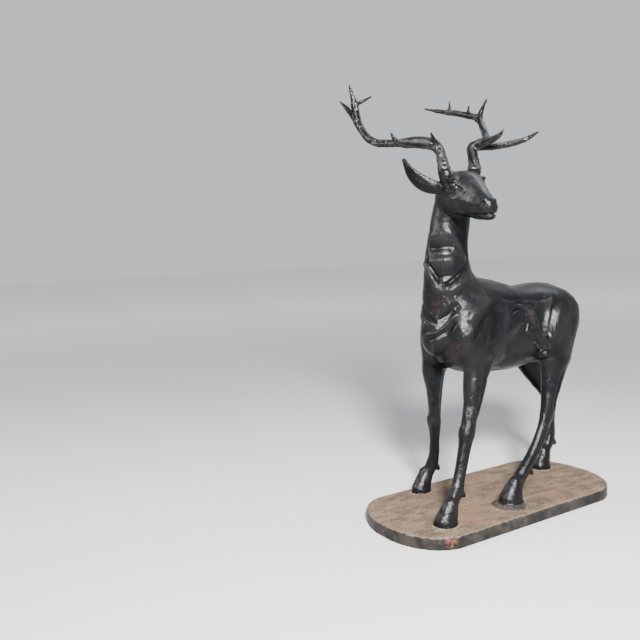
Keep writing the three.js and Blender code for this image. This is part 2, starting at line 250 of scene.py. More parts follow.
class Limb:
    """A body swept along stations, elliptical across, with domed ends."""

    def __init__(self, stations, across=(1, 0, 0), *, blend, step):
        rows = spline(stations, step)
        centre, size = rows[:, :3], np.maximum(rows[:, 3:5], 1.0)
        along = unit(np.gradient(centre, axis=0))
        side = np.asarray(across, float)
        wide = unit(side - along * (along @ side)[:, None])
        self.start, self.span = centre[:-1], np.diff(centre, axis=0)
        self.length2 = (self.span**2).sum(1)
        self.size, self.wide, self.along = size, wide, along
        self.blend = blend
        reach = size.max() + blend + FORM_MARGIN
        self.low, self.high = centre.min(0) - reach, centre.max(0) + reach

    def nearest(self, points):
        """For each block of points: the stretch nearest to each, how far along it, and the gap to it."""
        for first in range(0, len(points), BLOCK):
            block = slice(first, first + BLOCK)
            away = points[block][:, None, :] - self.start
            t = np.clip(np.einsum("nsk,sk->ns", away, self.span) / self.length2, 0, 1)
            gap = away - t[..., None] * self.span
            gap2 = np.einsum("nsk,nsk->ns", gap, gap)
            k = gap2.argmin(1)
            rows = np.arange(len(k))
            yield block, k, t[rows, k], gap[rows, k], gap2[rows, k]

    def distance(self, points):
        out = np.empty(len(points))
        for block, k, t, gap, _ in self.nearest(points):
            t = t[:, None]
            wide = unit(self.wide[k] * (1 - t) + self.wide[k + 1] * t)
            along = unit(self.along[k] * (1 - t) + self.along[k + 1] * t)
            deep = np.cross(along, wide)
            size = self.size[k] * (1 - t) + self.size[k + 1] * t
            local = np.stack([(gap * wide).sum(1), (gap * deep).sum(1), (gap * along).sum(1)], 1)
            out[block] = ellipsoid_distance(local, np.column_stack([size, size.min(1)]))
        return out

    def around(self, points):
        """For each point: its distance, the length along the limb, the angle round it and the thickness."""
        run = np.concatenate([[0], np.cumsum(np.sqrt(self.length2))])
        away, along, angle, thick = (np.empty(len(points)) for _ in range(4))
        for block, k, t, gap, gap2 in self.nearest(points):
            wide = self.wide[k]
            deep = np.cross(self.along[k], wide)
            thick[block] = self.size[k, 0] * (1 - t) + self.size[k + 1, 0] * t
            away[block] = np.sqrt(gap2) - thick[block]
            along[block] = run[k] + t * (run[k + 1] - run[k])
            angle[block] = np.arctan2((gap * deep).sum(1), (gap * wide).sum(1))
        return away, along, angle, thick


class Lump:
    """An ellipsoid with its own axes, given as rows of a rotation."""

    def __init__(self, centre, radii, axes, blend):
        self.centre, self.radii = np.asarray(centre, float), np.asarray(radii, float)
        self.axes = np.eye(3) if axes is None else np.asarray(axes, float)
        self.blend = blend
        reach = self.radii.max() + blend + FORM_MARGIN
        self.low, self.high = self.centre - reach, self.centre + reach

    def distance(self, points):
        return ellipsoid_distance((points - self.centre) @ self.axes.T, self.radii)


def pitched(pitch, yaw=0.0):
    """Axes of a lump turned about X and then about Z, in degrees."""
    turn = Matrix.Rotation(math.radians(yaw), 3, "Z") @ Matrix.Rotation(math.radians(pitch), 3, "X")
    return np.array(turn.transposed())


def smooth_min(a, b, k):
    """The lower of two fields, rounded over a width of k where they cross."""
    h = np.maximum(k - np.abs(a - b), 0) / k
    return np.minimum(a, b) - h * h * k / 4


def within(points, low, high):
    """The numbers of the points inside a box."""
    return np.flatnonzero(((points > low) & (points < high)).all(1))


def field(points, forms):
    """Signed distance to forms that are joined or cut in turn, given as (form, "join" or "cut")."""
    out = np.full(len(points), 1e3)
    for form, how in forms:
        near = within(points, form.low, form.high)
        if not len(near):
            continue
        d = form.distance(points[near])
        if how == "join":
            out[near] = smooth_min(out[near], d, form.blend)
        else:
            out[near] = -smooth_min(-out[near], d, form.blend)
    return out


# -------------------- meshes as arrays


def read(items, key, width, kind=float):
    """A property of a mesh's items as rows of an array."""
    flat = np.empty(len(items) * width, kind)
    items.foreach_get(key, flat)
    return flat.reshape(-1, width)


def points_of(mesh):
    """The mesh's points in millimetres from the deck."""
    out = read(mesh.vertices, "co", 3) / UNIT
    out[:, 2] -= DECK / UNIT
    return out


def put_points(mesh, points):
    flat = points * UNIT
    flat[:, 2] += DECK
    mesh.vertices.foreach_set("co", flat.ravel())
    mesh.update()


def normals_of(mesh):
    return read(mesh.vertices, "normal", 3)


def edges_of(mesh):
    return read(mesh.edges, "vertices", 2, np.int32)


def smoothed(points, edges, amount, rounds=1):
    """Each point moved part of the way to the mean of its neighbours."""
    a, b = edges[:, 0], edges[:, 1]
    count = np.maximum(np.bincount(np.concatenate([a, b]), minlength=len(points)), 1)[:, None]
    for _ in range(rounds):
        sums = [np.bincount(a, row[b], len(row)) + np.bincount(b, row[a], len(row)) for row in points.T]
        total = np.stack(sums, 1)
        points = points + (total / count - points) * amount
    return points


def apply_modifiers(obj):
    graph = bpy.context.evaluated_depsgraph_get()
    graph.update()
    mesh = bpy.data.meshes.new_from_object(obj.evaluated_get(graph))
    obj.modifiers.clear()
    old = obj.data
    obj.data = mesh
    bpy.data.meshes.remove(old)
    return obj


def remesh(obj, voxel):
    step = obj.modifiers.new("Fine", "REMESH")
    step.mode = "VOXEL"
    step.voxel_size = voxel * UNIT
    step.adaptivity = 0
    return apply_modifiers(obj)


def decimate(obj, most, keep=None):
    """Thin the mesh to at most so many triangles. keep says, from 0 to 1, where to hold the detail."""
    obj.data.calc_loop_triangles()
    count = len(obj.data.loop_triangles)
    if count <= most:
        return
    step = obj.modifiers.new("Thin", "DECIMATE")
    step.ratio = most / count
    if keep is not None:
        group = obj.vertex_groups.new(name="thin")
        levels = np.round((1 - keep) * THINNING_LEVELS).astype(int)
        for level in range(THINNING_LEVELS + 1):
            chosen = np.flatnonzero(levels == level)
            if len(chosen):
                group.add(chosen.tolist(), level / THINNING_LEVELS, "REPLACE")
        step.vertex_group = group.name
        step.vertex_group_factor = THINNING_BIAS
    apply_modifiers(obj)
    obj.vertex_groups.clear()


def copy_of(node, name):
    """A new object with a copy of a CAD node's mesh, its materials left behind."""
    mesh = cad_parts[node].data.copy()
    mesh.name = name
    mesh.materials.clear()
    obj = bpy.data.objects.new(name, mesh)
    bpy.context.scene.collection.objects.link(obj)
    return obj


def weld(obj):
    """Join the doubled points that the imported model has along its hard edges."""
    step = obj.modifiers.new("Weld", "WELD")
    step.merge_threshold = WELD_GAP * UNIT
    return apply_modifiers(obj)


def slope(points, forms, value):
    """The direction in which the field grows at each point."""
    gaps = [field(points + axis * SLOPE_STEP, forms) - value for axis in np.eye(3)]
    return unit(np.stack(gaps, 1))


def settle(obj, forms, rounds, hold=None, relax=0.25):
    """Move the vertices onto the field, along their normals or, near forms that cut, along its slope.

    hold, from 0 to 1, leaves them in place.
    """
    mesh = obj.data
    edges = edges_of(mesh)
    cuts = [form for form, how in forms if how == "cut"]
    for _ in range(rounds):
        points = smoothed(points_of(mesh), edges, relax) if relax else points_of(mesh)
        put_points(mesh, points)
        value = field(points, forms)
        ways = normals_of(mesh)
        near = np.zeros(len(points), bool)
        for form in cuts:
            near |= ((points > form.low + CUT_MARGIN) & (points < form.high - CUT_MARGIN)).all(1)
        if near.any():
            ways[near] = slope(points[near], forms, value[near])
        shift = np.clip(value, -MOST_SETTLING, MOST_SETTLING)
        if hold is not None:
            shift = shift * (1 - hold(points))
        put_points(mesh, points - ways * shift[:, None])


def kept_in(obj, node):
    """Hold the mesh inside the box of its CAD node."""
    low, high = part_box(node)
    co = np.clip(read(obj.data.vertices, "co", 3), np.array(low), np.array(high))
    obj.data.vertices.foreach_set("co", co.ravel())
    obj.data.update()


def ramp(x, low, high):
    """0 below low, 1 above high and a smooth rise between them."""
    t = np.clip((x - low) / (high - low), 0, 1)
    return t * t * (3 - 2 * t)


# -------------------- smooth noise on points


def noise(points, size, seed):
    """Value noise from -1 to 1 with lumps about the given size across."""
    q = points / size + seed * 17.31
    cell = np.floor(q).astype(np.int64)
    f = q - cell
    f = f * f * (3 - 2 * f)
    total = np.zeros(len(points))
    for corner in range(8):
        offset = np.array((corner & 1, corner >> 1 & 1, corner >> 2 & 1))
        c = cell + offset
        # A well mixed number for the corner, the same in every run.
        key = (c[:, 0] * 73856093) ^ (c[:, 1] * 19349663) ^ (c[:, 2] * 83492791) ^ (seed * 2654435761)
        key = (key ^ (key >> 13)) * 1274126177 & 0x7FFFFFFF
        value = (key ^ (key >> 16)) % 10007 / 5003.0 - 1
        weight = np.prod(np.where(offset, f, 1 - f), axis=1)
        total += value * weight
    return total


# -------------------- carved lines


class Stroke(NamedTuple):
    """A carved line, raised by its height, or sunk where that is below 0.

    A "line" fades towards its ends, a "round" one doesn't, and a "step" raises the side to the left of
    the stroke, seen from outside, and lowers the other.
    """

    path: list
    width: float
    height: float
    kind: str = "line"


STROKE_STEP = 2.5
STROKE_REACH = 3  # widths
STROKE_FADE = 0.16  # of its length, at each end


def carve(obj, strokes):
    """Press the strokes into the surface, and give how far each point moved."""
    mesh = obj.data
    points, normals = points_of(mesh), normals_of(mesh)
    faces = [tuple(face.vertices) for face in mesh.polygons]
    tree = BVHTree.FromPolygons([Vector(p) for p in points], faces, all_triangles=False)
    shift = np.zeros(len(points))
    for path, width, height, kind in strokes:
        rows = spline(path, max(width * 0.5, STROKE_STEP))
        spots = np.array([tree.find_nearest(Vector(row))[0] for row in rows])
        reach = width * STROKE_REACH
        near = within(points, spots.min(0) - reach, spots.max(0) + reach)
        span = np.diff(spots, axis=0)
        length2 = np.maximum((span**2).sum(1), 1e-6)
        run = np.concatenate([[0], np.cumsum(np.sqrt(length2))])
        for first in range(0, len(near), BLOCK):
            ids = near[first : first + BLOCK]
            away = points[ids][:, None, :] - spots[:-1]
            t = np.clip(np.einsum("nsk,sk->ns", away, span) / length2, 0, 1)
            gap = away - t[..., None] * span
            gap2 = (gap**2).sum(2)
            k = gap2.argmin(1)
            rows = np.arange(len(ids))
            t, gap, away = t[rows, k], gap[rows, k], np.sqrt(gap2[rows, k])
            if kind == "step":
                side = np.cross(normals[ids], span[k] / np.sqrt(length2[k])[:, None])
                across = np.where((gap * side).sum(1) > 0, away, -away) / width
                profile = across * np.exp(0.5 - 0.5 * across**2)
            else:
                profile = np.exp(-((away / width) ** 2))
            at = (run[k] + t * np.sqrt(length2[k])) / run[-1]
            fade = 1 if kind == "round" else ramp(at, 0, STROKE_FADE) * (1 - ramp(at, 1 - STROKE_FADE, 1))
            shift[ids] += height * profile * fade
    put_points(mesh, points + normals * shift[:, None])
    return shift


# -------------------- the stag's forms


def head_lump(right, forward, up, radii, blend, pitch=0.0, yaw=0.0):
    """Lump with radii across, forward and up, raised by pitch and turned outward by yaw in degrees."""
    axes = np.array([RIGHT, FORWARD, UP])
    return Lump(head_point(right, forward, up), radii, pitched(pitch, yaw) @ axes, blend)


# Hooves: middle of the sole, its height over the deck, the way its toe points in degrees, and its flare.
HOOVES = [
    (142, -366, 0, -4, 1.0),
    (-190, -208, 0, 14, 1.0),
    (143, -32, MOUND_HEIGHT, -4, 1.1),
    (-97, 412, 0, 4, 1.0),
]
# A hoof's stations: behind the middle of the sole, height, half width and half length.
HOOF_STATIONS = [(24, 74, 22, 25), (17, 50, 28, 32), (9, 30, 33, 40), (2, 10, 38, 47), (0, -20, 41, 51)]
HOOF_HEIGHT = 74
FETLOCK = -3  # the leg's station that the dewclaws are on
DEWCLAW = (8, 10, 16)
# A stump for an antler: how far out from the head's middle as a share, height under its top, and radius.
STUMP = [(0.5, 60, 16), (0.82, 34, 26), (1.0, 6, 25)]


def hoof_limb(x, y, z, toe, flare):
    turn = math.radians(toe)
    sine, cosine = math.sin(turn), math.cos(turn)
    rows = []
    for back, up, width, length in HOOF_STATIONS:
        grow = 1 + (flare - 1) * (1 - up / HOOF_HEIGHT)
        rows.append((x - sine * back, y + cosine * back, z + up, width * grow, length * grow))
    return Limb(rows, (cosine, sine, 0), blend=14, step=10)


def dewclaw_lumps(leg):
    x, y, z, width, depth = leg[FETLOCK]
    spots = [(x + s * width * 0.6, y + depth * 0.68, z - 16) for s in (-1, 1)]
    return [Lump(spot, DEWCLAW, pitched(26), 7) for spot in spots]


def ear_rows(points):
    return [(*head_point(*p), w, d) for p, w, d in zip(points, EAR_WIDTHS, EAR_DEPTHS)]


def ear_hollow(points, facing):
    """The form cut from an ear, a little narrower and set towards the side that the ear opens to."""
    rows = []
    for point, width, depth in zip(points, EAR_WIDTHS, EAR_DEPTHS):
        spot = head_point(*point) + np.array(facing) * depth * 0.8 + UP * 3
        rows.append((*spot, max(width - 5, 1.5), depth * 1.25))
    rows[0] = (*rows[0][:3], 8, 8)
    return Limb(rows, EAR_ACROSS, blend=2.5, step=8)


def body_forms():
    forms = [Limb(TRUNK, blend=30, step=16), Limb(NECK, blend=46, step=10)]
    forms += [Limb(leg, blend=34, step=9) for leg in FORE_LEGS]
    forms += [Limb(leg, blend=40, step=9) for leg in HIND_LEGS]
    forms.append(Limb(TAIL, blend=24, step=12))
    for s in (-1, 1):
        shoulder = Lump((s * 90, -176, 680), (56, 88, 126), pitched(-10), 34)
        haunch = Lump((s * 84, 300, 700), (56, 104, 108), None, 40)
        elbow = Lump((s * 100, -70, 640), (44, 60, 72), pitched(20), 18)
        thigh = Lump((s * 114, 244, 690), (28, 34, 84), pitched(14), 10)
        forms += [shoulder, haunch, elbow, thigh]
    left_knob = Lump((120, 185, 572), (23, 23, 20), None, 4)
    right_knob = Lump((-110, 236, 572), (17, 19, 17), None, 5)
    return forms + [left_knob, right_knob]


def head_forms():
    face = [(*head_point(0, forward, up), width, height) for forward, up, width, height in FACE]
    forms = [Limb(face, RIGHT, blend=30, step=5)]
    for s in (-1, 1):
        brow = head_lump(s * 50, 48, -33, (20, 36, 12), 12, yaw=-s * 12)
        cheek = head_lump(s * 42, 34, -112, (26, 46, 34), 16, pitch=-8, yaw=-s * 8)
        lip = head_lump(s * 13, 203, -151, (18, 21, 13), 12)
        nostril = head_lump(s * 15, 201, -131, (15, 20, 14), 12)
        forms += [brow, cheek, lip, nostril]
    muzzle = head_lump(0, 204, -140, (23, 20, 22), 14)
    chin = head_lump(0, 204, -177, (23, 26, 12), 9)
    forms += [muzzle, chin]
    forms += [Limb(ear_rows(ear), EAR_ACROSS, blend=10, step=8) for ear, _ in EARS]
    for beam in BEAMS:
        right, forward, up, _ = beam[0]
        rows = [(*head_point(right * out, forward, up - down), radius, radius) for out, down, radius in STUMP]
        forms.append(Limb(rows, RIGHT, blend=18, step=12))
    return forms


def joined_forms():
    """The forms whose smooth union is the stag."""
    forms = body_forms() + head_forms() + [hoof_limb(*hoof) for hoof in HOOVES]
    for leg in FORE_LEGS + HIND_LEGS:
        forms += dewclaw_lumps(leg)
    return forms


def ear_cuts():
    return [ear_hollow(points, facing) for points, facing in EARS]


def socket_cuts():
    return [head_lump(s * 72, 66, -57, (19, 31, 16), 6, yaw=-s * 22) for s in (-1, 1)]


def nostril_cuts():
    return [head_lump(s * 29, 216, -130, (11, 14, 10), 3.5, pitch=12, yaw=-s * 30) for s in (-1, 1)]


def eyeballs():
    return [head_lump(s * 52, 57, -57, (17, 17, 15), 1.5) for s in (-1, 1)]


def on_stumps(points):
    """1 at the flat tops that the antlers are seated on."""
    out = np.zeros(len(points))
    for beam in BEAMS:
        centre = head_point(*beam[0][:3])
        away = np.linalg.norm(points[:, :2] - centre[:2], axis=1)
        out = np.maximum(out, (1 - ramp(away, 30, 44)) * ramp(points[:, 2] - centre[2], -10, -7))
    return out


def sole_height(points):
    """The height of the sole under each point: on the mound for the left hind hoof."""
    on_mound = (points[:, 0] > 60) & (points[:, 1] > -130) & (points[:, 1] < 60)
    return np.where(on_mound, MOUND_HEIGHT, 0) + SEAT_GAP


# Each stroke: its points, width, height and, where it isn't a line, its kind.
# Muscle edges, ribs and folds of the left side. The right side has them too, plainer.
SIDE_STROKES = [
    ([(108, -60, 805), (118, -105, 770), (138, -160, 740), (142, -195, 705), (140, -211, 650)], 9, -9),
    ([(98, -80, 825), (112, -130, 790), (122, -190, 765), (120, -225, 722)], 15, 7),
    ([(122, -70, 770), (134, -95, 720), (136, -120, 655)], 24, -11),
    ([(120, -30, 775), (136, -45, 710), (136, -70, 640), (125, -95, 585)], 14, 6),
    ([(126, -10, 740), (124, 30, 762), (124, 62, 756), (134, 88, 722), (139, 104, 664)], 3.8, -8),
    ([(112, 20, 785), (112, 74, 783), (122, 104, 757), (136, 124, 716), (138, 134, 660)], 3.8, -8),
    ([(118, 30, 775), (120, 72, 770), (130, 98, 738), (137, 118, 680)], 6, 6),
    ([(108, 70, 800), (118, 128, 772), (134, 150, 720), (138, 158, 664)], 6, -4),
    ([(138, 43, 716), (138, 26, 672)], 5, -5),
    ([(138, 76, 714), (139, 58, 670)], 5, -5),
    ([(126, -60, 645), (136, 0, 681), (138, 46, 706)], 11, 6),
    ([(100, -50, 812), (104, 38, 800), (100, 127, 796), (104, 200, 792), (114, 270, 784)], 8, -8),
    ([(90, 40, 826), (88, 127, 826), (92, 210, 820), (100, 280, 806)], 18, 5),
    ([(108, 256, 800), (126, 218, 745), (136, 198, 706), (136, 187, 660), (131, 182, 626)], 12, -12, "step"),
    ([(118, 238, 770), (129, 212, 737), (136, 198, 700), (134, 190, 645)], 6, -9),
    ([(118, 268, 776), (131, 240, 728), (135, 226, 680), (128, 212, 620)], 11, 9),
    ([(120, 172, 588), (121, 145, 602), (129, 105, 634)], 9, 9),
    ([(128, 148, 618), (134, 120, 648)], 10, -5),
    ([(128, 200, 575), (140, 225, 563), (150, 267, 551), (146, 300, 548)], 4, -4),
    ([(112, 340, 780), (130, 330, 730), (130, 322, 670), (118, 318, 600)], 14, -4),
    ([(146, 262, 640), (146, 275, 690), (138, 290, 740)], 26, 4),
]
# Folds, seams and muscles of the neck, the chest and the fore leg that shows best.
NECK_STROKES = [
    ([(-48, -280, 1040), (-16, -297, 984), (18, -301, 929), (40, -292, 892), (49, -285, 866)], 7, -10),
    ([(66, -110, 1000), (80, -170, 950), (82, -217, 912), (70, -251, 886), (49, -286, 866)], 7, -10),
    ([(-34, -290, 968), (4, -300, 922), (34, -300, 880), (50, -290, 846)], 13, 9),
    ([(80, -150, 935), (86, -200, 890), (76, -248, 858), (50, -288, 846)], 13, 9),
    ([(30, -296, 862), (49, -290, 852), (66, -274, 862)], 9, 5, "round"),
    ([(-10, -290, 1050), (30, -288, 1058), (56, -272, 1060), (80, -235, 1058)], 18, 12),
    ([(-10, -290, 1008), (30, -288, 1010), (56, -272, 1012), (80, -235, 1012)], 13, -6),
    ([(-10, -296, 956), (30, -292, 960), (56, -276, 963), (84, -235, 966)], 18, 12),
    ([(10, -296, 905), (45, -284, 903), (80, -240, 908)], 14, -6),
    ([(47, -276, 1000), (49, -280, 928), (51, -283, 873), (52, -285, 817), (43, -283, 735)], 3, 5),
    ([(-12, -325, 672), (0, -325, 680), (22, -321, 691), (45, -306, 699), (58, -272, 725),
      (76, -244, 752), (84, -236, 762)], 3.8, 9),
    ([(54, -260, 1108), (70, -226, 1081), (70, -200, 1045), (66, -176, 998), (60, -160, 955)], 5, -7),
    ([(46, -270, 1096), (62, -244, 1060), (66, -216, 1018), (66, -190, 975)], 9, 6),
    ([(4, -325, 664), (30, -318, 672), (56, -300, 686), (70, -265, 704), (92, -240, 738)], 8, -6),
    ([(40, -306, 735), (66, -262, 765), (84, -225, 800)], 12, -6),
    ([(-78, -250, 845), (-44, -290, 798), (-21, -307, 776), (13, -302, 746), (40, -290, 722)], 7, -9),
    ([(-84, -240, 815), (-50, -292, 762), (-14, -315, 738), (18, -308, 715)], 11, 6),
    ([(21, -320, 668), (28, -313, 638), (12, -290, 606), (8, -261, 570)], 4, 4.5),
    ([(103, -209, 543), (110, -217, 485), (114, -232, 422), (122, -244, 369)], 3.5, 3),
    ([(121, -74, 767), (129, -83, 692), (117, -77, 614), (76, -47, 540)], 3, 2.5),
    ([(72, -230, 1150), (76, -215, 1080), (74, -190, 1010)], 12, -4),
    ([(-40, -230, 1130), (-58, -235, 1050), (-70, -225, 960), (-84, -200, 880)], 12, -5),
]
# Lids, brow, cheek and nostril of one side of the face: right, forward and up.
FACE_STROKES = [
    ([(68, 30, -60), (70, 40, -44), (66, 56, -38), (58, 72, -42), (50, 86, -58)], 3.8, 5.5),
    ([(68, 32, -62), (69, 44, -74), (64, 58, -78), (56, 72, -73), (50, 86, -62)], 3.6, 5),
    ([(60, 14, -44), (64, 34, -28), (60, 54, -24), (52, 78, -32)], 8, -2.5),
    ([(67, 24, -86), (65, 50, -94), (56, 80, -88)], 7, -3),
    ([(51, 84, -62), (47, 98, -72), (43, 112, -82)], 5, -4),
    ([(62, 30, -94), (58, 80, -104), (48, 120, -118), (40, 156, -126)], 14, 3),
    ([(26, 70, -26), (23, 110, -48), (20, 150, -74), (17, 180, -94)], 9, 1.5),
    ([(40, 116, -86), (36, 146, -102), (33, 172, -114)], 12, -2),
    ([(54, -10, -116), (48, 25, -141), (39, 66, -151), (31, 104, -158)], 8, 5.5),
    ([(50, 20, -70), (58, 30, -98), (52, 60, -122)], 10, -2.5),
    ([(16, 224, -122), (24, 220, -117), (36, 210, -117), (41, 202, -126), (38, 204, -138)], 4, 3),
    ([(14, 226, -134), (20, 224, -142), (32, 214, -143), (38, 204, -138)], 4, 2),
]
MOUTH = [(36, 96, -158), (32, 136, -165), (30, 165, -168), (29, 186, -167), (23, 206, -166), (12, 219, -166)]
MOUTH_LINES = [(0, 3, -4), (8, 4, 1.5), (-7, 4, 2.5)]  # up from the mouth, width and height
POLL_GROOVE = [(0, 0, 6), (0, 30, 2), (0, 62, -10)]
NOSE_GROOVE = [(0, 224, -128), (0, 228, -138), (0, 228, -150), (0, 224, -160)]
CLEFT = [(6, 52), (30, 34), (44, 14), (48, -4)]  # in front of the middle of a hoof's sole, and height
FAR_SIDE = 0.7


def side_strokes():
    out = []
    for stroke in (Stroke(*row) for row in SIDE_STROKES):
        path = [(-x, y, z) for x, y, z in stroke.path]
        height = stroke.height * (-FAR_SIDE if stroke.kind == "step" else FAR_SIDE)
        out += [stroke, Stroke(path, stroke.width, height, stroke.kind)]
    return out


def neck_strokes():
    return [Stroke(*row) for row in NECK_STROKES]


def leg_strokes():
    out = []
    for s, leg in zip((1, -1), FORE_LEGS):
        out += tendon(leg, s, 1, 4, 7, -6) + tendon(leg, s, 6, 9, 5, -6)
        out += knee_folds(leg[5])
    for s, leg in zip((1, -1), HIND_LEGS):
        out += tendon(leg, s, 3, 6, 8, -8) + tendon(leg, s, 7, 9, 5, -6)
    for x, y, z, toe, _ in HOOVES:
        turn = math.radians(toe)
        cleft = [(x + math.sin(turn) * ahead, y - math.cos(turn) * ahead, z + up) for ahead, up in CLEFT]
        out.append(Stroke(cleft, 3.5, -4, "round"))
    return out


def knee_folds(station):
    """Two short ridges over the front of a knee."""
    x, y, z, width, depth = station
    paths = [[(x + s * width * 0.5, y - depth * 0.9, z + up) for up in (26, 0, -26)] for s in (-1, 1)]
    return [Stroke(path, 6, 3) for path in paths]


def tendon(leg, side, first, last, width, height):
    """A groove down the outer and the inner face of a leg, behind its bone."""
    out = []
    for s in (-1, 1):
        path = [(x + s * w * 0.9, y + d * 0.28, z) for x, y, z, w, d in leg[first : last + 1]]
        out.append(Stroke(path, width, height * (1 if s == side else 0.6)))
    return out


def on_head(path, side=1, lift=0):
    return [head_point(side * right, forward, up + lift) for right, forward, up in path]


def face_strokes():
    out = [Stroke(on_head(path, s), *shape) for s in (-1, 1) for path, *shape in FACE_STROKES]
    for lift, width, height in MOUTH_LINES:
        path = on_head(MOUTH, 1, lift) + on_head(reversed(MOUTH), -1, lift)
        out.append(Stroke(path, width, height))
    return out + [Stroke(on_head(POLL_GROOVE), 12, -4), Stroke(on_head(NOSE_GROOVE), 3, -1.4)]


def in_forms(points, forms, depth):
    """How far each point is inside any of the forms, from 0 at their surface to 1 at that depth."""
    out = np.zeros(len(points))
    for form in forms:
        near = within(points, form.low, form.high)
        if len(near):
            inside = np.clip(-form.distance(points[near]) / depth + 0.4, 0, 1)
            out[near] = np.maximum(out[near], inside)
    return out


def set_mask(obj, name, values):
    """Store a number from 0 to 1 on each point, for the material to read."""
    mask = obj.data.attributes.new(name, "FLOAT", "POINT")
    mask.data.foreach_set("value", np.clip(values, 0, 1).astype(np.float32))


UNEVENNESS = [(1.3, 52, 3), (0.6, 21, 4), (0.45, 11, 5)]  # height, size across and seed


def sculpt(obj):
    shift = carve(obj, side_strokes() + neck_strokes() + leg_strokes() + face_strokes())
    points, normals = points_of(obj.data), normals_of(obj.data)
    lumps = sum(height * noise(points, size, seed) for height, size, seed in UNEVENNESS)
    calm_head = 1 - 0.7 * ramp(points[:, 2], 1100, 1150)
    lumps = lumps * (1 - on_stumps(points)) * calm_head
    points = points + normals * lumps[:, None]
    points[:, 2] = np.maximum(points[:, 2], sole_height(points))
    put_points(obj.data, points)
    # Painted shade: the carved grooves and the hollows of the ears and nostrils are darkened in the colour.
    # Painted highlight: the raised strokes are made paler.
    hollows = np.maximum(in_forms(points, ear_cuts(), 3), in_forms(points, nostril_cuts(), 2))
    set_mask(obj, "painted_shade", np.maximum(np.clip(-shift / 5, 0, 1), hollows))
    set_mask(obj, "wear_and_highlight", np.clip(shift / 6, 0, 1))


# Where the mesh is finest: right, forward and up on the head, and how far round.
FINE_SPOTS = [((0, 205, -138), 62), ((56, 60, -58), 50), ((-56, 60, -58), 50), ((120, -56, -20), 80)]


def detail_kept(points):
    """Where the stag's mesh stays fine: 1 round the fine spots, less on the rest that shows well."""
    x, y, z = points.T
    face = np.zeros(len(points))
    for spot, reach in FINE_SPOTS:
        away = np.linalg.norm(points - head_point(*spot), axis=1)
        face = np.maximum(face, 1 - ramp(away, reach * 0.8, reach * 1.3))
    head = 0.6 * ramp(z, 1080, 1130)
    legs = 0.3 * (1 - ramp(z, 420, 520))
    chest = 0.6 * ramp(-y, 200, 240) * ramp(z, 600, 650) * (1 - ramp(z, 1000, 1080))
    ribs = 0.5 * ramp(x, 90, 105) * (1 - ramp(np.abs(y - 90), 70, 140))
    return np.max([face, head, legs, chest, ribs], axis=0)


def refine(obj, chosen):
    """Split the faces whose points are all chosen in four."""
    mesh = bmesh.new()
    mesh.from_mesh(obj.data)
    mesh.verts.ensure_lookup_table()
    edges = [e for e in mesh.edges if chosen[e.verts[0].index] and chosen[e.verts[1].index]]
    bmesh.ops.subdivide_edges(mesh, edges=edges, cuts=1, use_grid_fill=True)
    mesh.to_mesh(obj.data)
    mesh.free()


def make_stag():
    obj = remesh(weld(copy_of("stag", "stag_casting")), STAG_VOXEL)
    whole = [(form, "join") for form in joined_forms()]
    cuts = [(form, "cut") for form in ear_cuts() + socket_cuts() + nostril_cuts()]
    hollowed = whole + cuts + [(form, "join") for form in eyeballs()]
    settle(obj, whole, 5, on_stumps, relax=0.4)
    remesh(obj, STAG_VOXEL)
    settle(obj, hollowed, 3, on_stumps, relax=0.3)
    refine(obj, detail_kept(points_of(obj.data)) > 0.9)
    settle(obj, hollowed, 3, on_stumps, relax=0.2)
    sculpt(obj)
    kept_in(obj, "stag")
    decimate(obj, STAG_TRIANGLES, detail_kept(points_of(obj.data)))
    obj.data.shade_smooth()
    return obj


# -------------------- antlers


def antler_limbs(branches):
    limbs = []
    for branch in branches:
        rows = [(*head_point(*place), radius, radius) for *place, radius in branch]
        limbs.append(Limb(rows, UP, blend=10, step=8))
    return limbs


RIDGES = 5


def bark(points, limbs):
    """Height of an antler's bark: long ridges that wind along each branch, with pearls between them."""
    best = np.full(len(points), 1e9)
    height = np.zeros(len(points))
    for limb in limbs:
        near = within(points, limb.low, limb.high)
        away, along, angle, thick = limb.around(points[near])
        closer = away < best[near]
        ids = near[closer]
        best[ids] = away[closer]
        along, angle, thick = along[closer], angle[closer], thick[closer]
        ridges = np.sin(RIDGES * angle + 1.6 * np.sin(along / 31) + along / 60)
        height[ids] = ridges * np.clip(thick / 16, 0.15, 1) * 1.2
    pearls = np.maximum(noise(points, 9, 11), 0) * 2.2 + noise(points, 24, 12) * 1.2
    return height + pearls * 0.8


def make_antler(node, branches, name):
    obj = remesh(weld(copy_of(node, name)), ANTLER_VOXEL)
    limbs = antler_limbs(branches)
    root = head_point(*branches[0][0][:3])

    def at_root(points):
        return 1 - ramp(points[:, 2] - root[2], -5, -2)

    settle(obj, [(limb, "join") for limb in limbs], 4, at_root, relax=0.3)
    points, normals = points_of(obj.data), normals_of(obj.data)
    height = bark(points, limbs)
    crown = 1 - ramp(np.abs(points[:, 2] - root[2] - 2), 3, 12)
    height = height * (1 - 0.5 * crown) + crown * (np.maximum(noise(points, 10, 21), 0) * 3 + 0.8)
    flat = ramp(points[:, 2] - root[2], -5.5, -3)
    points = points + normals * (height * flat)[:, None]
    put_points(obj.data, points)
    # Painted shade in the bark's grooves and a painted highlight on its ridges and pearls.
    set_mask(obj, "painted_shade", np.clip(-height / 1.5, 0, 1))
    set_mask(obj, "wear_and_highlight", np.clip(height / 2, 0, 1))
    kept_in(obj, node)
    decimate(obj, ANTLER_TRIANGLES)
    obj.data.shade_smooth()
    return obj


# -------------------- base plate


SOLE_WIDTH, SOLE_LENGTH = 36, 45  # from the middle of a sole to its outline


